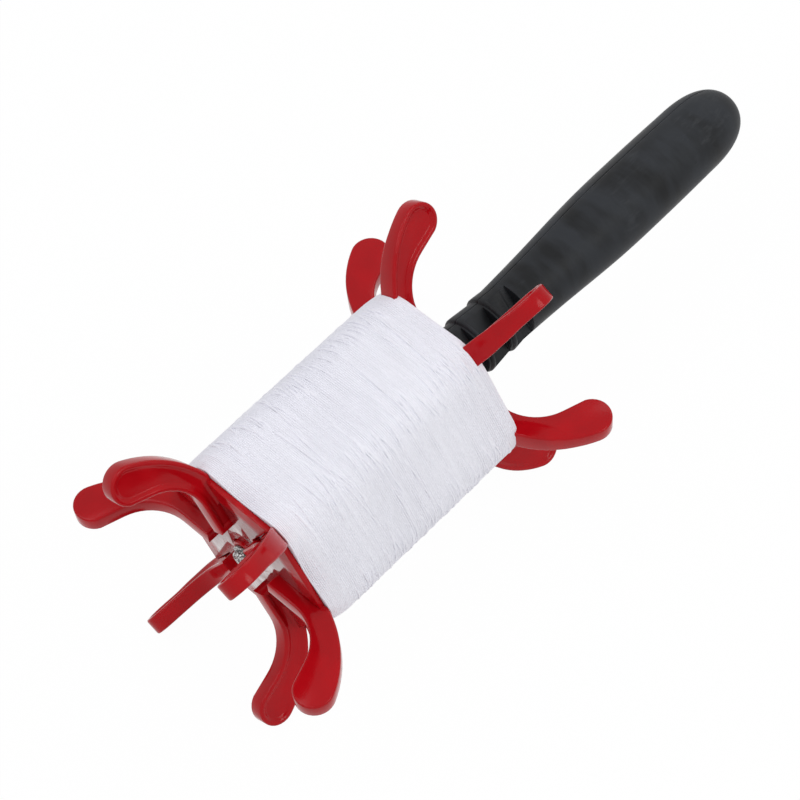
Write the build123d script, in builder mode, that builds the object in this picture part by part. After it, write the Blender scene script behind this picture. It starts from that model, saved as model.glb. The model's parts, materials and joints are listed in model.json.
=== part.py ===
from build123d import *
import os
from math import asin, cos, degrees, dist, hypot, pi, radians, sin

# Hand-held reel for kite line. A six-bladed spool runs free on a steel spindle that is
# fixed in a two-shell handle. Millimetres. +X runs along the spindle towards the butt of
# the handle, +Z is up, and the reel lies on the horns of its two lowest blades.

# ---------------------------------------------------------------- blades and their horns
blade_count = 6
blade_thickness = 7.0
first_blade_angle = 30.0      # from +Z towards +Y, so that a flat of the hexagon faces down
valley_half = 50.2            # half of the width between the end plates
valley_radius = 30.0          # the line is wound straight on this edge
foot_reach = 7.8              # of a blade's foot, past the valley
horn_root_radius = 41.0       # where a horn rises out of the wound line
horn_spread = 27.6            # from the valley's end to the middle of a horn's round tip
horn_rise = 18.3              # from the horn's root to the middle of its round tip
horn_tip_round = 8.0
horn_inner_slope = 25.0       # of the edge towards the line, where it leaves the tip
horn_outer_slope = 18.0       # of the edge towards the axis, where it leaves the tip
elbow_round = 20.0
edge_round = 0.8
rim_width = 1.9               # raised rim round the channelled face
channel_depth = 2.0

# ---------------------------------------------------------------------------- hub and ends
hub_radius = 10.0
groove_depth = 1.5            # axial grooves of the hub tube that the blades stand in
blade_fit = 0.1
end_plate_thickness = 2.4
end_plate_radius = 38.0
end_opening = 16.0            # the blades stop at this radius outside the end plates
stub_radius = 7.0
stub_proud = 1.0
bush_radius = 5.0
bush_length = 12.0
tube_bore = 3.8

# ------------------------------------------------------------------ spindle and its pieces
spindle_radius = 3.0
running_clearance = 0.05
end_play = 0.15
washer_radius = 5.6
washer_thickness = 1.0
screw_radius = 2.0
screw_length = 12.0
tapping_spare = 1.0           # of the tapped hole, past the screw's end
screw_head_radius = 4.2
screw_head_height = 2.5
screw_dome_round = 1.3
recess_width = 0.9
recess_length = 4.6
recess_depth = 1.4
thrust_washer_radius = 6.5
anchor_pin_radius = 1.5
anchor_pin_length = 18.0
anchor_pin_to_end = 10.0      # from the pin to the spindle's end in the handle
seat_clearance = 0.02

# --------------------------------------------------------------------------------- handle
parting_angle = 30.0          # the plane that the two shells meet on, from +Z towards +Y
neck_radius = 11.8
neck_chamfer = 1.2
neck_lead = 4.0               # plain neck before the first ring
neck_rings = 3
ring_pitch = 12.8
ring_rise = 0.9
grip_middle_depth = 93.3      # from the handle's near end
grip_middle_radius = 15.9
grip_widest_span = 30.0       # this and the next three follow each other along the handle
grip_widest_radius = 16.2
butt_start_span = 30.0
butt_start_radius = 15.8
butt_shoulder_span = 16.0
butt_shoulder_radius = 13.3
butt_round_span = 8.2
shell_wall = 3.0
rib_width = 2.5               # of the ribs that the neck's pockets leave under the rings
pocket_floor = 5.4            # distance of a pocket's floor from the spindle's axis
pocket_lean = 8.0             # turns the pockets a little towards the parting line
spindle_seat_depth = 83.3

# ------------------------------------------------------------------------------ wound line
wound_corner_radius = 43.6    # over a blade
wound_side_radius = 41.2      # midway between two blades
wound_corner_round = 20.0
wound_end_gap = 0.1
step_angle = 180.0            # the side that the turns step over on, from +Z towards +Y
strand_diameter = 3.55
strand_gap = 0.63
strand_seat = 0.05
strand_sides = 6
gap_samples = 200             # points on each turn, for the measure of the least gap
gap_reach = 10                # points of the next turn, on each side, that one is set against

# --------------------------------------------------------------------------------- derived
blade_step = 360.0 / blade_count
half_step = blade_step / 2
blade_foot = hub_radius - groove_depth + blade_fit
slot_width = blade_thickness + 2 * blade_fit
plate_outer = valley_half + end_plate_thickness
stub_end = plate_outer + stub_proud
spindle_start = -(stub_end + end_play)
handle_start = stub_end + end_play + washer_thickness
ring_start = handle_start + neck_lead
grip_start_x = ring_start + neck_rings * ring_pitch
grip_middle_x = handle_start + grip_middle_depth
grip_widest_x = grip_middle_x + grip_widest_span
butt_start_x = grip_widest_x + butt_start_span
butt_shoulder_x = butt_start_x + butt_shoulder_span
butt_end_x = butt_shoulder_x + butt_round_span
blade_end = valley_half + foot_reach
horn_tip_x = valley_half + horn_spread
horn_tip_r = horn_root_radius + horn_rise
horn_reach_x = horn_tip_x + horn_tip_round
horn_reach_r = horn_tip_r + horn_tip_round
lean = radians(half_step)
axis_z = (
    (horn_reach_r - edge_round) * cos(lean)
    + (blade_thickness / 2 - edge_round) * sin(lean)
    + edge_round
)
spool_x = (horn_reach_x - butt_end_x) / 2
spool_axis = Axis((spool_x, 0, axis_z), (1, 0, 0))


def direction(angle):
    """Unit vector square to the spindle, at an angle from +Z towards +Y."""
    return Vector(0, sin(radians(angle)), cos(radians(angle)))


def cross_plane(x):
    """Plane square to the spindle, x from the middle of the spool: local x is +Y."""
    return Plane(origin=(spool_x + x, 0, axis_z), x_dir=(0, 1, 0), z_dir=(1, 0, 0))


def radial_plane(angle):
    """Plane through the spindle's axis: local x is +X, and local y the radius."""
    return Plane(
        origin=(spool_x, 0, axis_z),
        x_dir=(1, 0, 0),
        z_dir=direction(angle - 90),
    )


def tube_between(x_from, x_to, outer, inner):
    """Ring of one wall thickness on the spindle's axis, as a finished part."""
    with BuildPart() as ring:
        with BuildSketch(cross_plane(x_from)):
            Circle(outer)
            Circle(inner, mode=Mode.SUBTRACT)
        extrude(amount=x_to - x_from)
    return ring.part


def write(part, name):
    """Label a finished piece and write it under its own name."""
    part.label = name
    export_step(part, f"parts/{name}.step")


os.makedirs("parts", exist_ok=True)

# Blades. All six are one moulding with a channelled and a flat face, and every second one
# is turned end for end, so that like faces look at each other across the spool.
tip_centre = Vector(horn_tip_x, horn_tip_r)
outer_lean = radians(horn_outer_slope)
inner_lean = radians(horn_inner_slope)
tip_low = tip_centre + Vector(sin(outer_lean), -cos(outer_lean)) * horn_tip_round
tip_high = tip_centre + Vector(-sin(inner_lean), cos(inner_lean)) * horn_tip_round
elbow_corner = Vector(blade_end, tip_low.Y - (tip_low.X - blade_end) * sin(outer_lean) / cos(outer_lean))

for number in range(blade_count):
    channel_side = 1 if number % 2 == 0 else -1
    with BuildPart() as blade:
        blade_plane = radial_plane(first_blade_angle + number * blade_step)
        with BuildSketch(blade_plane) as outline:
            with BuildLine():
                Polyline(
                    (0, blade_foot),
                    (valley_half, blade_foot),
                    (valley_half, end_opening),
                    (blade_end, end_opening),
                )
                FilletPolyline(
                    (blade_end, end_opening),
                    elbow_corner,
                    tip_low,
                    radius=elbow_round,
                )
                CenterArc(
                    tip_centre,
                    horn_tip_round,
                    start_angle=horn_outer_slope - 90,
                    arc_size=180 + horn_inner_slope - horn_outer_slope,
                )
                TangentArc(
                    tip_high,
                    (valley_half, horn_root_radius),
                    tangent=(-cos(inner_lean), -sin(inner_lean)),
                )
                Polyline(
                    (valley_half, horn_root_radius),
                    (valley_half, valley_radius),
                    (0, valley_radius),
                )
                mirror(about=Plane.YZ)
            make_face()
        extrude(amount=blade_thickness / 2, both=True)
        both_faces = blade.faces().filter_by(Axis((0, 0, 0), blade_plane.z_dir))
        rounded = both_faces.edges().filter_by(lambda edge: abs(edge.center().X - spool_x) > valley_half)
        fillet(rounded, radius=edge_round)
        with BuildSketch(blade_plane.offset(channel_side * blade_thickness / 2)):
            add(blade_plane.to_local_coords(outline.sketch))
            offset(amount=-rim_width, mode=Mode.REPLACE)
        extrude(amount=-channel_side * channel_depth, mode=Mode.SUBTRACT)
    write(blade.part, f"blade_{number + 1}")

# Hub tube: a grooved tube between the end plates, with a stub at each end that carries a
# plate and holds a bush in its counterbore.
with BuildPart() as hub_tube:
    with BuildSketch(cross_plane(-valley_half)):
        Circle(hub_radius)
    extrude(amount=2 * valley_half)
    with BuildSketch(cross_plane(-stub_end)):
        Circle(stub_radius)
    extrude(amount=2 * stub_end)
    with BuildSketch(cross_plane(-stub_end)):
        Circle(tube_bore)
    extrude(amount=2 * stub_end, mode=Mode.SUBTRACT)
    for mouth in (-stub_end, stub_end - bush_length):
        with BuildSketch(cross_plane(mouth)):
            Circle(bush_radius)
        extrude(amount=bush_length, mode=Mode.SUBTRACT)
    with BuildSketch(cross_plane(-valley_half)):
        with PolarLocations(hub_radius - groove_depth / 2, blade_count):
            Rectangle(groove_depth, slot_width)
    extrude(amount=2 * valley_half, mode=Mode.SUBTRACT)
write(hub_tube.part, "hub_tube")

# End plates: hexagons with a corner behind each blade, slotted for the blades' ends.
for plate_name, plate_start in (("near_end_plate", -plate_outer), ("far_end_plate", valley_half)):
    with BuildPart() as end_plate:
        slot_start = end_opening - blade_fit
        slot_length = end_plate_radius - slot_start
        with BuildSketch(cross_plane(plate_start)):
            RegularPolygon(radius=end_plate_radius, side_count=blade_count)
            Circle(stub_radius, mode=Mode.SUBTRACT)
            with PolarLocations(slot_start + slot_length / 2, blade_count):
                Rectangle(slot_length, slot_width, mode=Mode.SUBTRACT)
        extrude(amount=end_plate_thickness)
    write(end_plate.part, plate_name)

bush_bore = spindle_radius + running_clearance
write(tube_between(-stub_end, bush_length - stub_end, bush_radius, bush_bore), "near_bush")
write(tube_between(stub_end - bush_length, stub_end, bush_radius, bush_bore), "far_bush")

# Spindle: a plain rod, tapped at its near end, with a cross hole for its pin in the handle.
anchor_pin_x = handle_start + spindle_seat_depth - anchor_pin_to_end
with BuildPart() as spindle:
    with BuildSketch(cross_plane(spindle_start)):
        Circle(spindle_radius)
    extrude(amount=handle_start + spindle_seat_depth - spindle_start)
    with BuildSketch(cross_plane(spindle_start)):
        Circle(screw_radius)
    extrude(amount=screw_length + tapping_spare, mode=Mode.SUBTRACT)
    with BuildSketch(radial_plane(parting_angle + 90)):
        with Locations((anchor_pin_x, 0)):
            Circle(anchor_pin_radius)
    extrude(amount=2 * spindle_radius, both=True, mode=Mode.SUBTRACT)
write(spindle.part, "spindle")

with BuildPart() as anchor_pin:
    with BuildSketch(radial_plane(parting_angle + 90)):
        with Locations((anchor_pin_x, 0)):
            Circle(anchor_pin_radius)
    extrude(amount=anchor_pin_length / 2, both=True)
write(anchor_pin.part, "anchor_pin")

# Screw and washer that keep the spool on, and the thrust washer behind the spool.
washer_start = spindle_start - washer_thickness
write(tube_between(washer_start, spindle_start, washer_radius, screw_radius), "end_washer")
write(
    tube_between(handle_start - washer_thickness, handle_start, thrust_washer_radius, bush_bore),
    "thrust_washer",
)
head_top = washer_start - screw_head_height
with BuildPart() as end_screw:
    with BuildSketch(cross_plane(head_top)):
        Circle(screw_head_radius)
    extrude(amount=screw_head_height)
    fillet(end_screw.edges().group_by(Axis.X)[0], radius=screw_dome_round)
    with BuildSketch(cross_plane(washer_start)):
        Circle(screw_radius)
    extrude(amount=washer_thickness + screw_length)
    with BuildSketch(cross_plane(head_top)):
        Rectangle(recess_length, recess_width)
        Rectangle(recess_width, recess_length)
    extrude(amount=recess_depth, mode=Mode.SUBTRACT)
write(end_screw.part, "end_screw")

# Handle shells: two like halves of a ringed neck, a swelling grip and a round butt. Deep
# pockets between the rings of the neck leave ribs, and the grip is hollow.
ring_radius = neck_radius + ring_rise
grip_stations = [
    (grip_widest_x, grip_widest_radius),
    (butt_start_x, butt_start_radius),
    (butt_shoulder_x, butt_shoulder_radius),
]
for side, shell_name in ((0, "handle_shell_front"), (1, "handle_shell_back")):
    seam_plane = radial_plane(parting_angle + 180 * side)
    pull_angle = parting_angle + 180 * side - 90 + pocket_lean
    with BuildPart() as handle_shell:
        with BuildSketch(seam_plane):
            with BuildLine():
                Polyline(
                    (handle_start, 0),
                    (handle_start, neck_radius - neck_chamfer),
                    (handle_start + neck_chamfer, neck_radius),
                    (ring_start, neck_radius),
                    (ring_start, ring_radius),
                )
                for ring in range(1, neck_rings):
                    ring_x = ring_start + ring * ring_pitch
                    Polyline(
                        (ring_x - ring_pitch, ring_radius),
                        (ring_x, neck_radius),
                        (ring_x, ring_radius),
                    )
                Line((grip_start_x - ring_pitch, ring_radius), (grip_start_x, ring_radius))
                Spline(
                    (grip_start_x, ring_radius),
                    (grip_middle_x, grip_middle_radius),
                    *grip_stations,
                    (butt_end_x, 0),
                    tangents=[(ring_pitch, ring_rise), (0, -1)],
                )
                Line((butt_end_x, 0), (handle_start, 0))
            make_face()
        revolve(axis=spool_axis, revolution_arc=180)
        with BuildSketch(seam_plane):
            with BuildLine():
                Polyline(
                    (butt_end_x - shell_wall, 0),
                    (grip_middle_x, 0),
                    (grip_middle_x, grip_middle_radius - shell_wall),
                )
                Spline(
                    (grip_middle_x, grip_middle_radius - shell_wall),
                    *[(station_x, radius - shell_wall) for station_x, radius in grip_stations],
                    (butt_end_x - shell_wall, 0),
                    tangents=[(1, 0), (0, -1)],
                )
            make_face()
        revolve(axis=spool_axis, revolution_arc=180, mode=Mode.SUBTRACT)
        with BuildSketch(cross_plane(handle_start)):
            Circle(spindle_radius + seat_clearance)
        extrude(amount=spindle_seat_depth, mode=Mode.SUBTRACT)
        with BuildSketch(radial_plane(parting_angle + 90)):
            with Locations((anchor_pin_x, 0)):
                Circle(anchor_pin_radius + seat_clearance)
        extrude(amount=anchor_pin_length / 2 + seat_clearance, both=True, mode=Mode.SUBTRACT)
        with BuildSketch(radial_plane(pull_angle + 90).offset(pocket_floor)):
            for ring in range(neck_rings):
                with Locations((ring_start + (ring + 0.5) * ring_pitch, 0)):
                    Rectangle(ring_pitch - rib_width, 2 * grip_widest_radius)
        extrude(amount=ring_radius, mode=Mode.SUBTRACT)
    write(handle_shell.part, shell_name)

# Wound line. Its cross section is a six-cornered, well rounded outline: a small arc over
# each blade and a wide, flat arc between two blades, tangent to each other.
corner_centre = wound_corner_radius - wound_corner_round
side_shift = wound_side_radius - wound_corner_round
side_centre = (corner_centre**2 - side_shift**2) / (2 * (side_shift - corner_centre * cos(lean)))
side_round = wound_side_radius + side_centre
side_half_angle = degrees(asin(corner_centre * sin(lean) / (side_centre + side_shift)))
corner_half_angle = half_step - side_half_angle


def wound_point(x, inset, angle, from_middle=0.0):
    """Point of the outline at x, moved in by inset, beside a blade's or a side's angle."""
    over_blade = round((angle - first_blade_angle) / half_step) % 2 == 0
    centre = corner_centre if over_blade else -side_centre
    radius = (wound_corner_round if over_blade else side_round) - inset
    axis_point = Vector(spool_x + x, 0, axis_z)
    return axis_point + direction(angle) * centre + direction(angle + from_middle) * radius


def wound_arc(x, inset, angle):
    """One arc of the outline, over a blade or between two blades."""
    over_blade = round((angle - first_blade_angle) / half_step) % 2 == 0
    half_angle = corner_half_angle if over_blade else side_half_angle
    return ThreePointArc(
        wound_point(x, inset, angle, -half_angle),
        wound_point(x, inset, angle),
        wound_point(x, inset, angle, half_angle),
        mode=Mode.PRIVATE,
    )


# The layers under the outer one, as one plain body that lies on the blades' edges.
with BuildPart() as line_core:
    core_end = wound_end_gap - valley_half
    with BuildSketch(cross_plane(core_end)):
        with BuildLine():
            for arc in range(2 * blade_count):
                add(cross_plane(core_end).to_local_coords(
                    wound_arc(core_end, strand_diameter + strand_seat, arc * half_step)
                ))
        make_face()
        seat_corners = []
        for number in range(blade_count):
            angle = first_blade_angle + number * blade_step
            for across in (-blade_thickness / 2, blade_thickness / 2):
                corner = direction(angle) * (valley_radius + strand_seat)
                corner += direction(angle + 90) * across
                seat_corners.append((corner.Y, corner.Z))
        Polygon(*seat_corners, align=None, mode=Mode.SUBTRACT)
    extrude(amount=-2 * core_end)
write(line_core.part, "line_core")

# The outer layer of the wound line: flat turns over the core, each one stepping over to the
# next on the lowest side of the spool, as one unbroken strand with short straight ends.
strand_pitch = strand_diameter + strand_gap
wound_turns = 1 + int((2 * (valley_half - wound_end_gap) - strand_diameter) / strand_pitch)
strand_inset = strand_diameter / 2
first_turn_x = -(wound_turns - 1) * strand_pitch / 2
step_start = wound_point(first_turn_x, strand_inset, step_angle, -side_half_angle)
step_end = wound_point(first_turn_x + strand_pitch, strand_inset, step_angle, side_half_angle)
step_rise = side_half_angle * pi / 180
step_reach = (side_round - strand_inset) * sin(step_rise)
step_slant = hypot(step_reach, strand_pitch / 2) * sin(step_rise)
step_crown = (hypot(step_reach * cos(step_rise), step_slant) - step_reach * cos(step_rise)) / sin(step_rise)
step_middle = (step_start + step_end) / 2 + direction(step_angle) * step_crown
step_chord = (step_middle - step_start).normalized()
leaving = direction(step_angle - side_half_angle + 90)
crossing = step_chord * (2 * leaving.dot(step_chord)) - leaving
arriving = direction(step_angle + side_half_angle + 90)

with BuildLine() as turn:
    for arc in range(1, 2 * blade_count):
        add(wound_arc(first_turn_x, strand_inset, step_angle + arc * half_step))
with BuildLine() as step_over:
    TangentArc(step_start, step_middle, tangent=leaving)
    TangentArc(step_middle, step_end, tangent=crossing)
with BuildLine() as first_end:
    turn_start = step_end - Vector(strand_pitch, 0, 0)
    Line(turn_start - arriving * strand_diameter, turn_start)
with BuildLine() as last_end:
    turn_end = step_start + Vector((wound_turns - 1) * strand_pitch, 0, 0)
    Line(turn_end, turn_end + leaving * strand_diameter)

strand_edges = first_end.edges()
for number in range(wound_turns):
    shift = Location((number * strand_pitch, 0, 0))
    strand_edges += [edge.moved(shift) for edge in turn.edges()]
    if number < wound_turns - 1:
        strand_edges += [edge.moved(shift) for edge in step_over.edges()]
strand_path = Wire(strand_edges + last_end.edges())

with BuildPart() as line_outer_layer:
    start_plane = Plane(origin=strand_path @ 0, x_dir=(1, 0, 0), z_dir=strand_path % 0)
    with BuildSketch(start_plane):
        RegularPolygon(radius=strand_diameter / 2, side_count=strand_sides, rotation=half_step)
    sweep(path=strand_path)
write(line_outer_layer.part, "line_outer_layer")

# Least gap of the strand to itself, between the points of a turn and the near ones of the
# next. All turns are alike, so the first two tell it for the whole strand.
turn_length = sum(edge.length for edge in turn.edges() + step_over.edges())
samples = [
    tuple(strand_path.position_at(index * turn_length / gap_samples, PositionMode.LENGTH))
    for index in range(2 * gap_samples + gap_reach)
]
least_gap = min(
    dist(samples[index], samples[other])
    for index in range(gap_samples)
    for other in range(index + gap_samples - gap_reach, index + gap_samples + gap_reach)
) - strand_diameter
print(f"least gap of the wound strand to itself: {least_gap:.2f} mm")
print(f"length of the wound strand: {strand_path.length:.0f} mm")
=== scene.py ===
"""A hand-held kite line winder: a red six-bladed spool full of pale line on a black handle."""

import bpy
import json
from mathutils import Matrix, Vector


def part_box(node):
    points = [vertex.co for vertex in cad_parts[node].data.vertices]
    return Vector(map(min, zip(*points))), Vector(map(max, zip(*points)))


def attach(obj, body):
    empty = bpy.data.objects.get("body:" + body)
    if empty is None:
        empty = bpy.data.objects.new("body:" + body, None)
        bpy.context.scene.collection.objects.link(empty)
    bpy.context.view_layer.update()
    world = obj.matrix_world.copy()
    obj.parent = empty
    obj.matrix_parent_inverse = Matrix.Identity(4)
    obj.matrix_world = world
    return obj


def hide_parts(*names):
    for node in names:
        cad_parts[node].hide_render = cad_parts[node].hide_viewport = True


bl_info = {
    "name": "Kite Line Winder",
    "version": (1, 0, 0),
    "blender": (4, 5, 0),
    "location": "View3D > Sidebar > Line Winder",
    "description": "Builds a kite line winder: its spool, wound line, handle and stage",
    "category": "Object",
}

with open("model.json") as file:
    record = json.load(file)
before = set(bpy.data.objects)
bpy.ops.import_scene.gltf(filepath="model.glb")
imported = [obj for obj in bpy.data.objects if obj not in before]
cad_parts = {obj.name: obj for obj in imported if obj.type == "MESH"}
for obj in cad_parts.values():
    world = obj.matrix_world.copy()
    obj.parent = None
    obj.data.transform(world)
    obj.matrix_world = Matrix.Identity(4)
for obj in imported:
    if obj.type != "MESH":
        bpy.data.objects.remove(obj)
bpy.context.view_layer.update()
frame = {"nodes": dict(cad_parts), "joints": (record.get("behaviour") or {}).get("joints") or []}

import json
import math
import random

import bmesh
import bpy
from mathutils import Matrix, Vector, geometry, noise

MM = 0.001
CENTRE = Vector(frame["joints"][0]["pos_m"])  # the middle of the spool, on the spindle's axis
CENTRE.x = (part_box("blade_1")[0].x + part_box("blade_1")[1].x) / 2
BLADE_COUNT = 6
BLADE_STEP = math.tau / BLADE_COUNT
FIRST_BLADE = math.radians(30)  # from +Z towards +Y
PARTING = math.radians(30)  # the plane that the two handle shells meet on
POCKET_LEAN = math.radians(8)  # turns the neck's pockets towards the parting line
PLATE_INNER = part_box("far_end_plate")[0].x - CENTRE.x
HANDLE_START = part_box("handle_shell_front")[0].x - CENTRE.x
HANDLE_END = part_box("handle_shell_front")[1].x - CENTRE.x
SHARP_DEGREES = 35.0
WELD = 0.002 * MM  # corners of the CAD closer than this are one
FLAT = math.radians(0.5)  # faces of the CAD that turn less than this are one


# ------------ places
def outward(angle):
    """Unit vector square to the spindle, at an angle from +Z towards +Y."""
    return Vector((0.0, math.sin(angle), math.cos(angle)))


def around(x, radius, angle):
    """Point beside the spindle's axis: x from the spool's middle, radius and angle."""
    return CENTRE + Vector((x, 0.0, 0.0)) + outward(angle) * radius


def radial_frame(angle, flipped=False):
    """Matrix from a blade's own plane (x along the spindle, y outwards) to its place."""
    side = -1.0 if flipped else 1.0
    x_axis = Vector((side, 0.0, 0.0))
    y_axis = outward(angle)
    turn = Matrix((x_axis, y_axis, x_axis.cross(y_axis))).transposed().to_4x4()
    return Matrix.Translation(CENTRE) @ turn


def arc_points(centre, radius, start, end, count):
    """Points on an arc, from one angle to another, both ends included."""
    steps = [start + (end - start) * index / (count - 1) for index in range(count)]
    return [(centre[0] + radius * math.cos(a), centre[1] + radius * math.sin(a)) for a in steps]


def tangent_arc_points(start, heading, end, count):
    """Points on the arc that leaves a point along a heading and meets another point."""
    chord = Vector(end) - Vector(start)
    left = Vector((-heading[1], heading[0]))
    radius = chord.length_squared / (2 * chord.dot(left))
    centre = Vector(start) + left * radius
    first = math.atan2(start[1] - centre.y, start[0] - centre.x)
    last = math.atan2(end[1] - centre.y, end[0] - centre.x)
    if radius > 0 and last < first:
        last += math.tau
    if radius < 0 and last > first:
        last -= math.tau
    return arc_points(centre, abs(radius), first, last, count)


# ------------ pieces
def finish_mesh(mesh, sharp_degrees=SHARP_DEGREES):
    """Smooth shading, broken at the edges that are sharper than an angle."""
    mesh.shade_smooth()
    mesh.set_sharp_from_angle(angle=math.radians(sharp_degrees))


def new_object(name, data):
    """A new object in the scene."""
    item = bpy.data.objects.new(name, data)
    bpy.context.scene.collection.objects.link(item)
    return item


def add_piece(name, mesh, body, material, replaced=()):
    """Show a mesh as a piece of the winder, riding on a body."""
    piece = new_object(name, mesh)
    mesh.materials.clear()
    mesh.materials.append(material)
    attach(piece, body)
    if replaced:
        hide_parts(*replaced)


def mesh_from(bm, name):
    """Turn a finished bmesh into a mesh and free it."""
    mesh = bpy.data.meshes.new(name)
    bm.to_mesh(mesh)
    bm.free()
    return mesh


def round_edges(bm, edges, width, segments, clamp=True):
    """Round some edges of a bmesh."""
    bmesh.ops.bevel(
        bm, geom=edges, offset=width, offset_type="OFFSET", affect="EDGES",
        segments=segments, profile=0.5, material=-1, clamp_overlap=clamp,
    )


def is_fold(edge):
    """Whether an edge lies between two faces."""
    return len(edge.link_faces) == 2


def dressed_copy(node, name, edge_round):
    """Copy of a CAD node with its flat faces joined up and its sharp edges rounded."""
    bm = bmesh.new()
    bm.from_mesh(frame["nodes"][node].data)
    bmesh.ops.remove_doubles(bm, verts=bm.verts, dist=WELD)
    bmesh.ops.dissolve_limit(bm, angle_limit=FLAT, verts=bm.verts, edges=bm.edges)
    limit = math.radians(SHARP_DEGREES)
    sharp = [edge for edge in bm.edges if is_fold(edge) and edge.calc_face_angle() > limit]
    round_edges(bm, sharp, edge_round, segments=2)
    mesh = mesh_from(bm, name)
    finish_mesh(mesh)
    return mesh


def paint_nodes(nodes, material):
    """Give CAD nodes that are shown as they are a material."""
    for node in nodes:
        materials = frame["nodes"][node].data.materials
        materials.clear()
        materials.append(material)


# ------------ materials
def new_material(name):
    """A material with a Principled shader, ready for its nodes."""
    material = bpy.data.materials.new(name)
    material.use_nodes = True
    tree = material.node_tree
    return material, tree, tree.nodes["Principled BSDF"]


def set_inputs(node, **values):
    """Set inputs of a node, with a low line for each space in a socket's name."""
    for key, value in values.items():
        node.inputs[key.replace("_", " ")].default_value = value


def feed(tree, node, **sources):
    """Link outputs to inputs of a node, with a low line for each space in a socket's name."""
    for key, source in sources.items():
        tree.links.new(source, node.inputs[key.replace("_", " ")])


def add_node(tree, kind, **values):
    """Add a node and set its properties, or its inputs where the name is a socket's."""
    node = tree.nodes.new(kind)
    for key, value in values.items():
        if hasattr(node, key):
            setattr(node, key, value)
        else:
            set_inputs(node, **{key: value})
    return node


def object_place(tree, scale=(1.0, 1.0, 1.0), rotation=(0.0, 0.0, 0.0), location=(0.0, 0.0, 0.0)):
    """Object coordinates, scaled, turned and moved for one pattern."""
    coordinates = tree.nodes.new("ShaderNodeTexCoord")
    mapping = tree.nodes.new("ShaderNodeMapping")
    set_inputs(mapping, Location=location, Scale=scale, Rotation=rotation)
    feed(tree, mapping, Vector=coordinates.outputs["Object"])
    return mapping.outputs["Vector"]


def noise_texture(tree, place, **values):
    """Noise at a place, as one value."""
    texture = add_node(tree, "ShaderNodeTexNoise", **values)
    feed(tree, texture, Vector=place)
    return texture.outputs["Fac"]


def combined(tree, operation, first, second):
    """Two values put together by a Math node."""
    node = add_node(tree, "ShaderNodeMath", operation=operation)
    for source, socket in zip((first, second), node.inputs):
        tree.links.new(source, socket)
    return node.outputs["Value"]


def mix_shaders(tree, share, first, second, target):
    """Feed two shaders, the second one by its share, to an output node."""
    mix = tree.nodes.new("ShaderNodeMixShader")
    for source, socket in zip((share, first, second), mix.inputs):
        tree.links.new(source, socket)
    feed(tree, tree.nodes[target], Surface=mix.outputs["Shader"])


def moulding_group():
    """Shared effect: soft ripples and fine specks of a moulded surface."""
    if "Moulded Surface" in bpy.data.node_groups:
        return bpy.data.node_groups["Moulded Surface"]
    group = bpy.data.node_groups.new("Moulded Surface", "ShaderNodeTree")
    face = group.interface
    face.new_socket("Vector", in_out="INPUT", socket_type="NodeSocketVector")
    for label, default in (("Ripple Scale", 60.0), ("Speck Scale", 1500.0), ("Speck Share", 0.2)):
        socket = face.new_socket(label, in_out="INPUT", socket_type="NodeSocketFloat")
        socket.default_value = default
    face.new_socket("Height", in_out="OUTPUT", socket_type="NodeSocketFloat")
    face.new_socket("Ripple", in_out="OUTPUT", socket_type="NodeSocketFloat")
    source = group.nodes.new("NodeGroupInput")
    result = group.nodes.new("NodeGroupOutput")
    ripple = add_node(group, "ShaderNodeTexNoise", Detail=2.0, Roughness=0.5)
    speck = add_node(group, "ShaderNodeTexNoise", Detail=3.0, Roughness=0.6)
    mixed = add_node(group, "ShaderNodeMix", data_type="FLOAT")
    for texture, label in ((ripple, "Ripple Scale"), (speck, "Speck Scale")):
        feed(group, texture, Vector=source.outputs["Vector"], Scale=source.outputs[label])
    ripples, specks = ripple.outputs["Fac"], speck.outputs["Fac"]
    feed(group, mixed, Factor=source.outputs["Speck Share"], A=ripples, B=specks)
    feed(group, result, Height=mixed.outputs["Result"], Ripple=ripples)
    return group


def moulded(tree, vector, ripple_scale, speck_scale, speck_share):
    """The shared moulded surface in a material: its height and its ripples alone."""
    node = add_node(tree, "ShaderNodeGroup", node_tree=moulding_group())
    set_inputs(node, Ripple_Scale=ripple_scale, Speck_Scale=speck_scale, Speck_Share=speck_share)
    feed(tree, node, Vector=vector)
    return node.outputs["Height"], node.outputs["Ripple"]


def bump(tree, height, shader, strength, distance):
    """Feed a height to a shader's normal."""
    node = add_node(tree, "ShaderNodeBump", Strength=strength, Distance=distance)
    feed(tree, node, Height=height)
    feed(tree, shader, Normal=node.outputs["Normal"])


def ramp(tree, value, stops):
    """Colour from a ramp with the given (position, colour) stops."""
    node = tree.nodes.new("ShaderNodeValToRGB")
    elements = node.color_ramp.elements
    while len(elements) < len(stops):
        elements.new(0.5)
    for element, (position, colour) in zip(elements, stops):
        element.position = position
        element.color = colour
    feed(tree, node, Fac=value)
    return node.outputs["Color"]


def grey(level):
    """Opaque grey of one level."""
    return (level, level, level, 1.0)


def toned(colour, share=1.0):
    """Opaque colour, darkened to a share of itself."""
    return (*(value * share for value in colour), 1.0)


def red_plastic(settings, name="Red Moulded Plastic", ripple_scale=90.0, ripple=0.18):
    """Glossy red moulded plastic with faint flow ripples."""
    material, tree, shader = new_material(name)
    place = object_place(tree)
    height, ripples = moulded(tree, place, ripple_scale, speck_scale=2600.0, speck_share=0.06)
    colour = settings.colour
    tone = ramp(tree, ripples, [(0.3, toned(colour, 0.86)), (0.7, toned(colour))])
    rough = ramp(tree, height, [(0.3, grey(0.1)), (0.75, grey(0.2))])
    feed(tree, shader, Base_Color=tone, Roughness=rough)
    set_inputs(shader, Specular_IOR_Level=0.16)
    bump(tree, height, shader, strength=ripple, distance=0.3 * MM)
    return material


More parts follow.
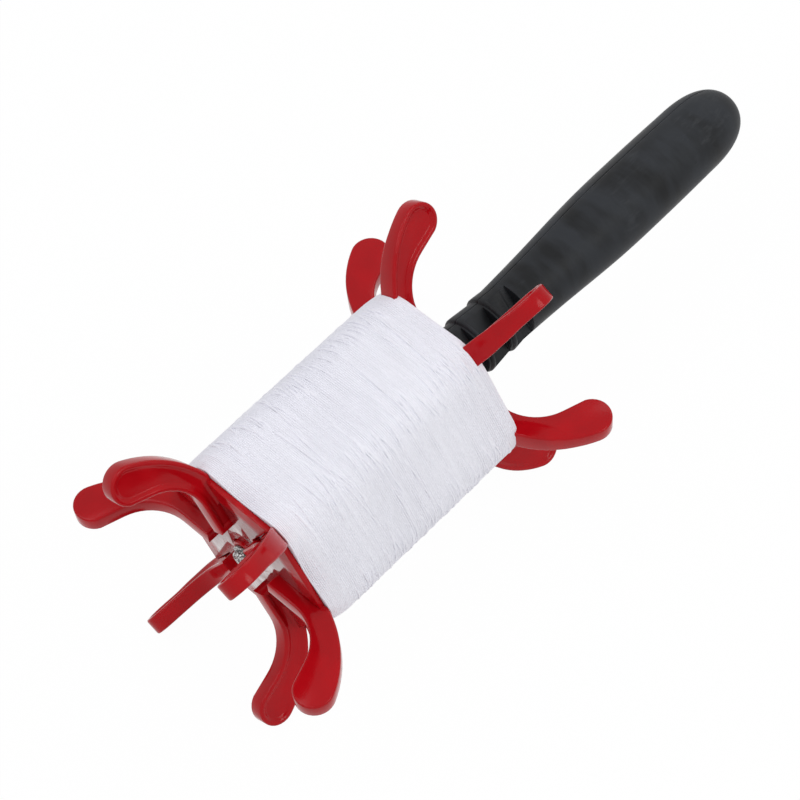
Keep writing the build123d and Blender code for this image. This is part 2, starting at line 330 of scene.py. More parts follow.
def plate_plastic(settings):
    """Red plastic with a glassy rippled coat on the middle of the end plates' flat faces, whose
    red is darkened there as painted shade.
    """
    material = red_plastic(settings, "Red Plate Plastic", ripple_scale=300.0, ripple=1.0)
    tree = material.node_tree
    shader = tree.nodes["Principled BSDF"]
    red = shader.inputs["Base Color"].links[0].from_socket
    flat = add_node(tree, "ShaderNodeAttribute", attribute_name="flat_face")
    scale = 1.0 / COAT_AND_SHADE_REACH
    centred = (0.0, -CENTRE.y * scale, -CENTRE.z * scale)
    place = object_place(tree, (0.0, scale, scale), location=centred)
    middle = add_node(tree, "ShaderNodeTexGradient", gradient_type="SPHERICAL")
    feed(tree, middle, Vector=place)
    inside = ramp(tree, middle.outputs["Fac"], [(0.0, grey(0.0)), (0.12, grey(1.0))])
    # This mask lays the glassy coat and also paints shade: the flat middle's red is darkened
    # towards a painted shade colour.
    coat_and_painted_shade = combined(tree, "MULTIPLY", flat.outputs["Fac"], inside)
    tone = add_node(tree, "ShaderNodeMix", data_type="RGBA", B=PLATE_PAINTED_SHADE_COLOUR)
    feed(tree, tone, Factor=coat_and_painted_shade, A=red)
    feed(tree, shader, Base_Color=tone.outputs["Result"], Coat_Weight=coat_and_painted_shade)
    set_inputs(shader, Coat_IOR=1.8, Coat_Roughness=0.04)
    return material


def handle_plastic(settings):
    """Matt black plastic, finely grained, scuffed lighter in places."""
    material, tree, shader = new_material("Black Grip Plastic")
    place = object_place(tree)
    height, _ = moulded(tree, place, ripple_scale=70.0, speck_scale=2200.0, speck_share=0.55)
    slanted = object_place(tree, (1.0, 0.35, 0.35), (0.0, 0.5, 0.6))
    bands = noise_texture(tree, slanted, Scale=85.0, Detail=3.0, Roughness=0.55)
    steep = object_place(tree, (0.25, 1.0, 0.5), (0.0, 0.35, 0.9))
    scratches = noise_texture(tree, steep, Scale=420.0, Detail=4.0, Roughness=0.7)
    patches = noise_texture(tree, place, Scale=45.0, Detail=2.0)
    scratch_mask = ramp(tree, scratches, [(0.5, grey(0.0)), (0.75, grey(1.0))])
    patch_mask = ramp(tree, patches, [(0.52, grey(0.0)), (0.75, grey(1.0))])
    worn = combined(tree, "MULTIPLY", scratch_mask, patch_mask)
    base = ramp(tree, bands, [(0.36, toned(settings.colour, 0.25)), (0.6, toned(settings.colour))])
    tone = add_node(tree, "ShaderNodeMix", data_type="RGBA", B=toned(settings.worn_colour))
    feed(tree, tone, Factor=worn, A=base)
    rough = ramp(tree, bands, [(0.35, grey(0.46)), (0.65, grey(0.6))])
    feed(tree, shader, Base_Color=tone.outputs["Result"], Roughness=rough)
    set_inputs(shader, Specular_IOR_Level=0.2, Sheen_Weight=0.3, Sheen_Roughness=0.2)
    bump(tree, height, shader, strength=0.35, distance=0.12 * MM)
    return material


def line_material(settings, name, streak_depth):
    """Pale braided line: fine streaks along the turns and a soft sheen."""
    material, tree, shader = new_material(name)
    place = object_place(tree)
    along = object_place(tree, (1.0, 0.08, 0.08))
    streaks = noise_texture(tree, along, Scale=900.0, Detail=4.0, Roughness=0.6)
    fibres = noise_texture(tree, place, Scale=4200.0, Detail=2.0)
    drift = noise_texture(tree, place, Scale=35.0, Detail=2.0)
    tone = ramp(tree, streaks, [
        (0.3, toned(settings.colour, 1.0 - streak_depth)), (0.6, toned(settings.colour)),
    ])
    cloud = ramp(tree, drift, [(0.3, (0.965, 0.967, 0.97, 1.0)), (0.7, grey(1.0))])
    shade = add_node(tree, "ShaderNodeMix", data_type="RGBA", blend_type="MULTIPLY", Factor=1.0)
    feed(tree, shade, A=tone, B=cloud)
    feed(tree, shader, Base_Color=shade.outputs["Result"])
    set_inputs(
        shader, Roughness=0.55, Specular_IOR_Level=0.2, Sheen_Weight=0.25, Sheen_Roughness=0.4,
    )
    bump(tree, fibres, shader, strength=0.3, distance=0.08 * MM)
    return material


def metal(name, colour, roughness, scratch_scale, blotch_scale, darkest):
    """Steel with fine turned scratches and darker blotches."""
    material, tree, shader = new_material(name)
    place = object_place(tree, (scratch_scale, 1.0, 1.0))
    height, ripples = moulded(tree, place, blotch_scale, speck_scale=3000.0, speck_share=0.5)
    tone = ramp(tree, ripples, [(0.42, toned(colour, darkest)), (0.56, toned(colour))])
    rough = ramp(tree, height, [(0.3, grey(roughness * 0.7)), (0.7, grey(roughness * 1.3))])
    feed(tree, shader, Base_Color=tone, Roughness=rough)
    set_inputs(shader, Metallic=1.0)
    bump(tree, height, shader, strength=0.3, distance=0.1 * MM)
    return material


def bush_plastic():
    """Natural low-friction plastic of the bushes."""
    material, tree, shader = new_material("Natural Bush Plastic")
    place = object_place(tree)
    height, _ = moulded(tree, place, ripple_scale=200.0, speck_scale=2500.0, speck_share=0.3)
    tone = ramp(tree, height, [(0.3, (0.6, 0.58, 0.52, 1.0)), (0.7, (0.72, 0.7, 0.64, 1.0))])
    feed(tree, shader, Base_Color=tone)
    set_inputs(shader, Roughness=0.45)
    return material


# ------------ settings
def length(name, description, millimetres):
    """A length that a user may change."""
    return bpy.props.FloatProperty(
        name=name, description=description, default=millimetres * MM, unit="LENGTH",
    )


class WinderBladeSettings(bpy.types.PropertyGroup):
    """Sizes and colour of the red blades."""

    colour: bpy.props.FloatVectorProperty(
        name="Colour", description="Colour of the red plastic", subtype="COLOR",
        default=(0.43, 0.003, 0.007), min=0.0, max=1.0,
    )
    thickness: length("Thickness", "Thickness of a blade", 7.0)
    edge_round: length("Edge Round", "Rounding along the horns' edges", 0.8)
    rim_width: length("Rim Width", "Width of the flat rim round the dished face", 0.4)
    dish_width: length("Dish Width", "Width of the sloping wall inside the rim", 2.3)
    dish_depth: length("Dish Depth", "Depth of the dished face below its rim", 1.1)
    flare: bpy.props.FloatProperty(
        name="Flare", description="How much thicker a horn is at the edge that holds the line",
        default=0.34, subtype="FACTOR",
    )


class WinderLineSettings(bpy.types.PropertyGroup):
    """Sizes and colour of the wound line."""

    colour: bpy.props.FloatVectorProperty(
        name="Colour", description="Colour of the line", subtype="COLOR",
        default=(0.873, 0.868, 0.917), min=0.0, max=1.0,
    )
    strand: length("Strand", "Diameter of the line", 0.95)
    pitch: length("Pitch", "Distance from one turn to the next", 0.8)
    corner_radius: length("Corner Radius", "Outer radius of the wound line over a blade", 43.5)
    side_radius: length("Side Radius", "Outer radius of the wound line between two blades", 40.3)
    corner_round: length("Corner Round", "Rounding of the wound line over a blade", 17.0)
    steps_per_turn: bpy.props.IntProperty(
        name="Steps per Turn", description="Points on one turn of line", default=54,
    )
    stray_count: bpy.props.IntProperty(
        name="Stray Strands", description="Turns that cross over the others", default=26,
    )
    corner_strays: bpy.props.IntProperty(
        name="Corner Strays", description="Short crossings over each blade", default=44,
    )


class WinderHandleSettings(bpy.types.PropertyGroup):
    """Sizes and colours of the handle."""

    colour: bpy.props.FloatVectorProperty(
        name="Colour", description="Colour of the handle", subtype="COLOR",
        default=(0.021, 0.0235, 0.0275), min=0.0, max=1.0,
    )
    worn_colour: bpy.props.FloatVectorProperty(
        name="Worn Colour", description="Colour of the scuffed places", subtype="COLOR",
        default=(0.045, 0.048, 0.052), min=0.0, max=1.0,
    )
    edge_round: length("Edge Round", "Rounding of the rings and pockets", 0.25)
    seam_round: length("Seam Round", "Rounding beside the seam of the two shells", 0.5)


class WinderStageSettings(bpy.types.PropertyGroup):
    """Camera, floor and light."""

    azimuth: bpy.props.FloatProperty(
        name="Azimuth", description="How far the camera is turned from -Y towards -X",
        default=math.radians(40.5), subtype="ANGLE",
    )
    elevation: bpy.props.FloatProperty(
        name="Elevation", description="How far the camera looks down",
        default=math.radians(57.49), subtype="ANGLE",
    )
    roll: bpy.props.FloatProperty(
        name="Roll", description="Turn of the picture about the line of sight",
        default=math.radians(-7.37), subtype="ANGLE",
    )
    distance: bpy.props.FloatProperty(
        name="Distance", description="From the camera to the middle of the spool",
        default=0.9579, unit="LENGTH",
    )
    focal_pixels: bpy.props.FloatProperty(
        name="Focal Pixels", description="Focal length in pixels of the square picture",
        default=2483.0,
    )
    spool_pixel: bpy.props.FloatVectorProperty(
        name="Spool Pixel", description="Where the picture shows the middle of the spool",
        size=2, default=(344.1, 463.7),
    )
    floor_level: bpy.props.FloatProperty(
        name="Floor Brightness", description="Grey level of the floor", default=0.9,
    )


# ------------ blades
# The outline of a blade, in millimetres: x from the spool's middle and r from its axis.
BLADE_FOOT_R = 8.6
BLADE_INNER_R = 16.0
BLADE_END_X = 58.0
VALLEY_R = 30.0
HORN_ROOT_R = 41.0
HORN_TIP = (77.2, 59.3)
HORN_TIP_ROUND = 8.0
HORN_INNER_SLOPE = math.radians(25)
HORN_OUTER_SLOPE = math.radians(18)
ELBOW_ROUND = 20.0
ELBOW_POINTS = 12
TIP_POINTS = 18
INNER_POINTS = 14
AXIS_SIDE = slice(2, 18)  # the points of horn_outline on the edge towards the axis
LINE_SIDE = slice(27, 45)  # and on the edge that holds the line
DISH_STEPS = 9
# Radii between which the flare sets in, grows weaker and ends.
FLARE_START = (28 * MM, 42 * MM)
FLARE_WEAKER = (46 * MM, 60 * MM)
FLARE_END = (57 * MM, 63 * MM)
TIP_LOSS = 0.55  # share of the flare that a tip goes without
PLATE_GROWTH = 1.09  # the near plate against the CAD's, across the axis
PLATE_EDGE_ROUND = 0.3 * MM
COAT_AND_SHADE_REACH = 30.5 * MM  # how far from the axis the plates have their glassy coat and their painted shade
# Darker red painted on the middle of the end plates' flat faces, as painted shade.
PLATE_PAINTED_SHADE_COLOUR = (0.2, 0.015, 0.018, 1.0)


def horn_outline():
    """One horn, from the blade's end near the axis, round the tip and back to the line."""
    low = (
        HORN_TIP[0] + HORN_TIP_ROUND * math.sin(HORN_OUTER_SLOPE),
        HORN_TIP[1] - HORN_TIP_ROUND * math.cos(HORN_OUTER_SLOPE),
    )
    corner_r = low[1] - (low[0] - BLADE_END_X) * math.tan(HORN_OUTER_SLOPE)
    reach = ELBOW_ROUND * math.tan((math.pi / 2 - HORN_OUTER_SLOPE) / 2)
    elbow_centre = (BLADE_END_X + ELBOW_ROUND, corner_r - reach)
    elbow = arc_points(
        elbow_centre, ELBOW_ROUND, math.pi, math.pi / 2 + HORN_OUTER_SLOPE, ELBOW_POINTS,
    )
    tip = arc_points(
        HORN_TIP, HORN_TIP_ROUND, HORN_OUTER_SLOPE - math.pi / 2, HORN_INNER_SLOPE + math.pi / 2,
        TIP_POINTS,
    )
    heading = (-math.cos(HORN_INNER_SLOPE), -math.sin(HORN_INNER_SLOPE))
    root = (PLATE_INNER / MM, HORN_ROOT_R)
    inner = tangent_arc_points(tip[-1], heading, root, INNER_POINTS)
    foot = [(BLADE_END_X, BLADE_INNER_R), (BLADE_END_X, (BLADE_INNER_R + elbow[0][1]) / 2)]
    wall = [(root[0], (VALLEY_R + HORN_ROOT_R) / 2), (root[0], VALLEY_R)]
    return foot + elbow + tip[1:] + inner[1:] + wall


def dish(bm, face, width, depth, steps):
    """Sink a face in steps, along half a cosine wave, as it grows narrower."""
    for index in range(steps):
        first = math.cos(math.pi * index / steps)
        last = math.cos(math.pi * (index + 1) / steps)
        bmesh.ops.inset_region(
            bm, faces=[face], thickness=width / steps, depth=-depth * (first - last) / 2,
            use_even_offset=True,
        )


def nearest(points, place):
    """Distance from a place to a run of points."""
    distances = []
    for start, end in zip(points, points[1:]):
        _, share = geometry.intersect_point_line(place, start, end)
        closest = start.lerp(end, min(1.0, max(0.0, share)))
        distances.append((place - closest).length)
    return min(distances)


def blend(value, start, end):
    """Smooth step from 0 at start to 1 at end."""
    share = min(1.0, max(0.0, (value - start) / (end - start)))
    return share * share * (3 - 2 * share)


def flare_horns(bm, right, amount):
    """Thicken the horns towards the edge that holds the line, less so near their tips."""
    axis_side = [Vector((x * MM, r * MM)) for x, r in right[AXIS_SIDE]]
    line_side = [Vector((x * MM, r * MM)) for x, r in right[LINE_SIDE]]
    for vert in bm.verts:
        place = Vector((abs(vert.co.x), vert.co.y))
        share = blend(place.y, *FLARE_START) * (1 - TIP_LOSS * blend(place.y, *FLARE_WEAKER))
        share *= 1 - blend(place.y, *FLARE_END)
        if share > 0:
            to_axis = nearest(axis_side, place)
            to_line = nearest(line_side, place)
            vert.co.z *= 1 + amount * share * to_axis / (to_axis + to_line)


def blade_mesh(settings, name):
    """A whole blade in its own plane: flat on one face and dished on the other."""
    right = horn_outline()
    left = [(-x, r) for x, r in reversed(right)]
    foot_x = PLATE_INNER / MM
    foot = [
        (-foot_x, BLADE_INNER_R), (-foot_x, BLADE_FOOT_R),
        (foot_x, BLADE_FOOT_R), (foot_x, BLADE_INNER_R),
    ]
    outline = foot + right + left
    bm = bmesh.new()
    half = settings.thickness / 2
    corners = [bm.verts.new((x * MM, r * MM, -half)) for x, r in outline]
    flat_face = bm.faces.new(corners)
    extruded = bmesh.ops.extrude_face_region(bm, geom=[flat_face], use_keep_orig=True)
    top_verts = [item for item in extruded["geom"] if isinstance(item, bmesh.types.BMVert)]
    bmesh.ops.translate(bm, verts=top_verts, vec=(0.0, 0.0, 2 * half))
    bmesh.ops.recalc_face_normals(bm, faces=bm.faces)
    rims = [
        edge for edge in bm.edges
        if is_fold(edge) and abs(edge.verts[0].co.z - edge.verts[1].co.z) < half
    ]
    round_edges(bm, rims, settings.edge_round, segments=4)
    top_face = max(
        bm.faces, key=lambda face: (round(face.calc_center_median().z, 6), face.calc_area()),
    )
    bmesh.ops.inset_region(
        bm, faces=[top_face], thickness=settings.rim_width, depth=0.0, use_even_offset=True,
    )
    dish(bm, top_face, settings.dish_width, settings.dish_depth, DISH_STEPS)
    flare_horns(bm, right, settings.flare)
    mesh = mesh_from(bm, name)
    finish_mesh(mesh, sharp_degrees=30.0)
    return mesh


class WINDER_OT_blades(bpy.types.Operator):
    """Make the six blades with their horns"""

    bl_idname = "winder.blades"
    bl_label = "Blades"

    def execute(self, context):
        settings = context.scene.winder_blades
        material = red_plastic(settings)
        pattern = blade_mesh(settings, "red_blade")
        for number in range(BLADE_COUNT):
            name = f"red_blade_{number + 1}"
            mesh = pattern.copy()
            mesh.name = name
            turned = number % 2 == 1
            mesh.transform(radial_frame(FIRST_BLADE + number * BLADE_STEP, turned))
            add_piece(name, mesh, "spool", material, (f"blade_{number + 1}",))
        return {"FINISHED"}


class WINDER_OT_hub(bpy.types.Operator):
    """Make the end plates and the hub tube"""

    bl_idname = "winder.hub"
    bl_label = "End Plates and Hub"

    def execute(self, context):
        settings = context.scene.winder_blades
        material = plate_plastic(settings)
        for node in ("near_end_plate", "far_end_plate", "hub_tube"):
            mesh = dressed_copy(node, f"red_{node}", PLATE_EDGE_ROUND)
            if node == "near_end_plate":
                wider = Matrix.Diagonal((1.0, PLATE_GROWTH, PLATE_GROWTH, 1.0))
                mesh.transform(Matrix.Translation(CENTRE) @ wider @ Matrix.Translation(-CENTRE))
            self.mark_flat_faces(mesh, "plate" in node)
            add_piece(f"red_{node}", mesh, "spool", material, (node,))
        paint_nodes(("near_bush", "far_bush"), bush_plastic())
        return {"FINISHED"}

    def mark_flat_faces(self, mesh, is_plate):
        """Attribute that is 1 on the faces of a plate that lie square to the axis."""
        square = 0.95
        values = [float(is_plate and abs(face.normal.x) > square) for face in mesh.polygons]
        mesh.attributes.new("flat_face", "FLOAT", "FACE").data.foreach_set("value", values)


# ------------ wound line
END_GAP = 0.1 * MM  # between the wound line and a plate
NEAR_SHOULDER = 9.0 * MM  # how far the near shoulder reaches along the axis
NEAR_SLOPE = 11.0 * MM  # and along its own slope
NEAR_DROP = 0.9  # millimetres that it falls over a blade
NEAR_SAG = 3.4  # and as many more between two blades
NEAR_CURVE = 1.7
FAR_SHOULDER = 3.0 * MM  # radius of the rounded far end
FAR_BULGE = 4.0 * MM  # how far the line stands out past the far plate
FAR_SAG = 1.4 * MM  # the far end is rounder by this much between two blades
FAR_TURN = math.radians(150)
FAR_ARC = FAR_SHOULDER * FAR_TURN

# How far a turn wanders along the axis and climbs, in strands, and how high the bundles
# of turns are. The lengths are those of the noise along the axis.
WANDER = 0.22
WANDER_LENGTH = 3.2 * MM
CLIMB = 0.1
BUNDLE = 0.06 * MM
BUNDLE_LENGTH = 2.4 * MM
# How deep each layer's middle lies under the surface, in strands.
TURN_DEPTH = 0.6
BED_DEPTH = 0.8
STRAY_DEPTH = 0.5
BED_STEPS = 120  # rings of the bed, and points on each ring

# Crossing strands: how far they reach to each side in degrees, how far they slope in
# millimetres, where they start as a share of the line's length, and their lift in strands.
LONG_STRAY = ((15, 45), (0.8, 2.6), (0.12, 0.88), 0.3)
CORNER_STRAY = ((7, 15), (0.5, 1.4), (0.1, 0.93), 0.2)
CORNER_SPREAD = 9  # degrees beside a blade
STRAY_SEED = 7
STRAY_STEPS = 24
STRAY_RADIUS = 0.45  # in strands


class LinePackage:
    """The outer surface of the wound line, as a radius at each place and angle."""

    def __init__(self, settings):
        self.half = PLATE_INNER - END_GAP
        self.round = settings.corner_round
        self.corner_shift = settings.corner_radius - settings.corner_round
        side_shift = settings.side_radius - settings.corner_round
        cosine = math.cos(BLADE_STEP / 2)
        self.side_shift = (self.corner_shift ** 2 - side_shift ** 2) / (
            2 * (side_shift - self.corner_shift * cosine)
        )
        self.side_round = settings.side_radius + self.side_shift
        lean = math.asin(
            self.corner_shift * math.sin(BLADE_STEP / 2) / (self.side_shift + side_shift)
        )
        reach = BLADE_STEP / 2 - lean
        self.switch = math.atan2(
            self.round * math.sin(reach), self.corner_shift + self.round * math.cos(reach)
        )
        self.length = (
            2 * self.half + FAR_BULGE - FAR_SHOULDER + FAR_ARC + NEAR_SLOPE - NEAR_SHOULDER
        )

    def from_corner(self, angle):
        """Angle to the nearest blade."""
        return abs((angle - FIRST_BLADE + BLADE_STEP / 2) % BLADE_STEP - BLADE_STEP / 2)

    def section(self, angle):
        """Radius of the outline in the middle of the spool."""
        corner = self.from_corner(angle)
        if corner < self.switch:
            chord = self.round ** 2 - (self.corner_shift * math.sin(corner)) ** 2
            return self.corner_shift * math.cos(corner) + math.sqrt(chord)
        side = BLADE_STEP / 2 - corner
        chord = self.side_round ** 2 - (self.side_shift * math.sin(side)) ** 2
        return math.sqrt(chord) - self.side_shift * math.cos(side)

    def surface(self, share, angle):
        """Place (x, radius) on the outline, at a share of the way from the near end."""
        across = share * self.length
        between = 0.5 - 0.5 * math.cos(BLADE_COUNT * self.from_corner(angle))
        top = self.section(angle)
        if across < NEAR_SLOPE:
            left = 1.0 - across / NEAR_SLOPE
            drop = (NEAR_DROP + NEAR_SAG * between) * MM
            return -self.half + NEAR_SHOULDER * (1 - left), top - drop * left ** NEAR_CURVE
        bulge = self.half + FAR_BULGE
        level = self.length - NEAR_SLOPE - FAR_ARC
        if across < NEAR_SLOPE + level:
            start = -self.half + NEAR_SHOULDER
            share = (across - NEAR_SLOPE) / level
            return start + (bulge - FAR_SHOULDER - start) * share, top
        lean = (across - NEAR_SLOPE - level) / FAR_ARC * FAR_TURN
        return (
            bulge - FAR_SHOULDER * (1 - math.sin(lean)),
            top - (FAR_SHOULDER + FAR_SAG * between) * (1 - math.cos(lean)),
        )


def winding_points(package, settings):
    """Centre line of the turns: one helix whose turns wander and climb a little."""
    turn_count = int(package.length / settings.pitch)
    steps = settings.steps_per_turn
    points = []
    for index in range(turn_count * steps):
        turns = index / steps
        angle = math.pi + turns * math.tau
        along, radius = package.surface(turns / turn_count, angle)
        across, upright = math.sin(angle), math.cos(angle)
        wander = noise.noise(Vector((along / WANDER_LENGTH, across * 1.4, upright * 1.4)))
        climb = noise.noise(Vector((turns * 0.9, angle * 0.35 % 50.0, 3.0)))
        bundle = noise.noise(Vector((along / BUNDLE_LENGTH, across * 0.8 + 9.0, upright * 0.8)))
        radius += (climb * CLIMB - TURN_DEPTH) * settings.strand + bundle * BUNDLE
        points.append(around(along + wander * WANDER * settings.strand, radius, angle))
    return points


def strand_mesh(name, strands, radius, sides=1):
    """Tubes along lists of points, as one mesh."""
    curve = bpy.data.curves.new(name, "CURVE")
    curve.dimensions = "3D"
    curve.bevel_depth = radius
    curve.bevel_resolution = sides
    curve.use_fill_caps = True
    curve.twist_mode = "MINIMUM"
    for points in strands:
        spline = curve.splines.new("POLY")
        spline.points.add(len(points) - 1)
        spline.points.foreach_set("co", [value for point in points for value in (*point, 1.0)])
    holder = new_object(name, curve)
    graph = bpy.context.evaluated_depsgraph_get()
    mesh = bpy.data.meshes.new_from_object(holder.evaluated_get(graph))
    bpy.data.objects.remove(holder)
    bpy.data.curves.remove(curve)
    mesh.name = name
    mesh.shade_smooth()
    return mesh


class WINDER_OT_line(bpy.types.Operator):
    """Wind the line on the spool"""

    bl_idname = "winder.line"
    bl_label = "Wound Line"

    def execute(self, context):
        settings = context.scene.winder_line
        package = LinePackage(settings)
        self.bed(package, settings)
        self.turns(package, settings)
        self.strays(package, settings)
        return {"FINISHED"}

    def bed(self, package, settings):
        """The layers under the outer one, closed by flat ends."""
        bm = bmesh.new()
        rings = []
        for ring in range(BED_STEPS + 1):
            verts = []
            for index in range(BED_STEPS):
                angle = math.tau * index / BED_STEPS
                x, radius = package.surface(ring / BED_STEPS, angle)
                place = around(x, radius - BED_DEPTH * settings.strand, angle)
                verts.append(bm.verts.new(place))
            rings.append(verts)
        for before, after in zip(rings, rings[1:]):
            for index in range(BED_STEPS):
                beside = (index + 1) % BED_STEPS
                bm.faces.new((before[index], after[index], after[beside], before[beside]))
        for ring in (rings[0], rings[-1]):
            edges = [bm.edges.get(pair) for pair in zip(ring, (*ring[1:], ring[0]))]
            bmesh.ops.holes_fill(bm, edges=edges, sides=0)
        bmesh.ops.recalc_face_normals(bm, faces=bm.faces)
        mesh = mesh_from(bm, "line_bed")
        finish_mesh(mesh, sharp_degrees=50.0)
        material = line_material(settings, "Inner Line", 0.1)
        add_piece("line_bed", mesh, "spool", material, ("line_core",))

    def turns(self, package, settings):
        """The turns that show."""
        points = winding_points(package, settings)
        mesh = strand_mesh("line_turns", [points], settings.strand / 2)
        material = line_material(settings, "Pale Line", 0.05)
        add_piece("line_turns", mesh, "spool", material, ("line_outer_layer",))

    def strays(self, package, settings):
        """Single turns that cross the others at a small angle and dive under at both ends."""
        chance = random.Random(STRAY_SEED)
        strands = []
        for _ in range(settings.stray_count):
            middle = math.radians(chance.uniform(-180, 180))
            strands.append(self.stray(package, settings, chance, middle, *LONG_STRAY))
        for number in range(BLADE_COUNT * settings.corner_strays):
            corner = FIRST_BLADE + number % BLADE_COUNT * BLADE_STEP
            middle = corner + math.radians(chance.uniform(-CORNER_SPREAD, CORNER_SPREAD))
            strands.append(self.stray(package, settings, chance, middle, *CORNER_STRAY))
        mesh = strand_mesh("line_strays", strands, settings.strand * STRAY_RADIUS, sides=2)
        add_piece("line_strays", mesh, "spool", bpy.data.materials["Pale Line"])

    def stray(self, package, settings, chance, middle, spreads, slopes, starts, lift):
        """Points of one strand that rises out of the others and dives under again."""
        spread = math.radians(chance.uniform(*spreads))
        slope = chance.choice((-1, 1)) * chance.uniform(*slopes) * MM
        start = chance.uniform(*starts)
        points = []
        for index in range(STRAY_STEPS + 1):
            share = 2 * index / STRAY_STEPS - 1
            angle = middle + share * spread
            along, radius = package.surface(start + share * slope / package.length, angle)
            height = lift - (lift + STRAY_DEPTH) * share ** 4
            points.append(around(along, radius + (height - STRAY_DEPTH) * settings.strand, angle))
        return points


# ------------ handle
# The handle's outline in millimetres: x from its near end or from a ring's start, and radius.
NECK = ((0.0, 0.0), (0.0, 11.2), (1.0, 12.2), (3.5, 12.25))
RING_START = 4.0
RING_PITCH = 12.8
RING_COUNT = 3
RING = ((0.0, 13.1), (0.5, 13.3), (2.5, 13.2), (6.5, 12.8))
RING_GAP = ((11.0, 12.35), (12.3, 12.25))
GRIP_FOOT_R = 13.0
GRIP = ((60.0, 13.85), (93.3, 15.85), (123.3, 16.15), (150.0, 15.85))
GRIP_STEPS = 10
BUTT_STEPS = 32
BUTT_POWER = 2.45  # 2 would make the butt an ellipse
# A pocket's cutter: its size along the axis, sideways and outwards, and its middle's radius.
POCKET = (10.3, 40.0, 20.0)
POCKET_R = 15.4 * MM
TURN_STEPS = 60  # round one shell
SEAM_MIN_R = 11.0 * MM  # the seam is rounded from this radius outwards
SEAM_REACH = 0.01 * MM  # edges this close to the seam's plane lie on it
SHELL_WELD = 0.005 * MM
SHELL_FOLD = math.radians(40)  # edges of a shell that turn more than this are rounded


def handle_profile():
    """The handle's outline, from its near end on the axis to its round butt, in millimetres."""
    start = HANDLE_START / MM
    end = HANDLE_END / MM
    points = shifted(NECK, start)
    for ring in range(RING_COUNT):
        here = start + RING_START + ring * RING_PITCH
        points += shifted(RING, here)
        if ring < RING_COUNT - 1:
            points += shifted(RING_GAP, here)
    grip = [points[-1], (here + RING_PITCH, GRIP_FOOT_R), *shifted(GRIP, start)]
    points += smooth_through(grip, GRIP_STEPS)[1:]
    butt_start, butt_radius = grip[-1]
    for index in range(1, BUTT_STEPS + 1):
        share = math.sin(index / BUTT_STEPS * math.pi / 2)
        fall = max(0.0, 1 - share ** BUTT_POWER) ** (1 / BUTT_POWER)
        points.append((butt_start + (end - butt_start) * share, butt_radius * fall))
    return points


def shifted(points, start):
    """A list of (x, radius) points, moved along x."""
    return [(start + x, radius) for x, radius in points]


def smooth_through(points, steps):
    """Points of a smooth curve through the given ones."""
    out = []
    ends = [points[0], *points, points[-1]]
    for first, second, third, fourth in zip(ends, ends[1:], ends[2:], ends[3:]):
        for index in range(steps):
            t = index / steps
            values = []
            for a, b, c, d in zip(first, second, third, fourth):
                values.append(0.5 * (
                    2 * b + (c - a) * t + (2 * a - 5 * b + 4 * c - d) * t ** 2
                    + (3 * b - a - 3 * c + d) * t ** 3
                ))
            out.append(tuple(values))
    out.append(points[-1])
    return out


def half_turn(profile, seam_angle, seam_round):
    """Solid half of a turned shape, flat on its seam and rounded beside it, as a bmesh."""
    bm = bmesh.new()
    verts = [bm.verts.new(around(x * MM, r * MM, seam_angle)) for x, r in profile]
    face = bm.faces.new(verts)
    bmesh.ops.spin(
        bm, geom=[face], cent=CENTRE, axis=(1, 0, 0), angle=math.pi, steps=TURN_STEPS,
        use_merge=False,
    )
    bmesh.ops.remove_doubles(bm, verts=bm.verts, dist=SHELL_WELD)
    bmesh.ops.recalc_face_normals(bm, faces=bm.faces)
    seam_normal = outward(seam_angle + math.pi / 2)
    seam_edges = []
    for edge in bm.edges:
        offsets = [vert.co - CENTRE for vert in edge.verts]
        on_seam = all(abs(offset.dot(seam_normal)) < SEAM_REACH for offset in offsets)
        outside = all(offset.yz.length > SEAM_MIN_R for offset in offsets)
        if on_seam and outside:
            seam_edges.append(edge)
    round_edges(bm, seam_edges, seam_round, segments=2, clamp=False)
    return bm


def pocket_cutters(pull_angle):
    """Boxes that cut the pockets of the neck, on one side of the handle."""
    bm = bmesh.new()
    outwards = outward(pull_angle)
    sideways = outward(pull_angle + math.pi / 2)
    turn = Matrix((Vector((1, 0, 0)), sideways, outwards)).transposed().to_4x4()
    size = Matrix.Diagonal((*(side * MM for side in POCKET), 1.0))
    for ring in range(RING_COUNT):
        middle = HANDLE_START + (RING_START + (ring + 0.5) * RING_PITCH) * MM
        place = Matrix.Translation(around(middle, POCKET_R, pull_angle))
        bmesh.ops.create_cube(bm, size=1.0, matrix=place @ turn @ size)
    bmesh.ops.recalc_face_normals(bm, faces=bm.faces)
    return mesh_from(bm, "pocket_cutters")


class WINDER_OT_handle(bpy.types.Operator):
    """Make the two handle shells"""

    bl_idname = "winder.handle"
    bl_label = "Handle"

    def execute(self, context):
        settings = context.scene.winder_handle
        material = handle_plastic(settings)
        profile = handle_profile()
        for node, seam in (
            ("handle_shell_front", PARTING), ("handle_shell_back", PARTING + math.pi),
        ):
            name = f"black_{node}"
            mesh = mesh_from(half_turn(profile, seam, settings.seam_round), name)
            cutters = pocket_cutters(seam - math.pi / 2 + POCKET_LEAN)
            shell = self.carved(context, mesh, cutters, settings.edge_round)
            shell.name = name
            finish_mesh(shell)
            add_piece(name, shell, "handle", material, (node,))
        return {"FINISHED"}

    def carved(self, context, mesh, cutters, edge_round):
        """A mesh with others cut out of it and its edges rounded."""
        tool = new_object("cutters", cutters)
        holder = new_object("shell", mesh)
        carve = holder.modifiers.new("carve", "BOOLEAN")
        carve.operation = "DIFFERENCE"
        carve.solver = "EXACT"
        carve.object = tool
        soften = holder.modifiers.new("soften", "BEVEL")
        soften.width = edge_round
        soften.segments = 3
        soften.limit_method = "ANGLE"
        soften.angle_limit = SHELL_FOLD
        soften.harden_normals = True
        graph = context.evaluated_depsgraph_get()
        shell = bpy.data.meshes.new_from_object(holder.evaluated_get(graph))
        for item in (holder, tool):
            bpy.data.objects.remove(item)
        return shell


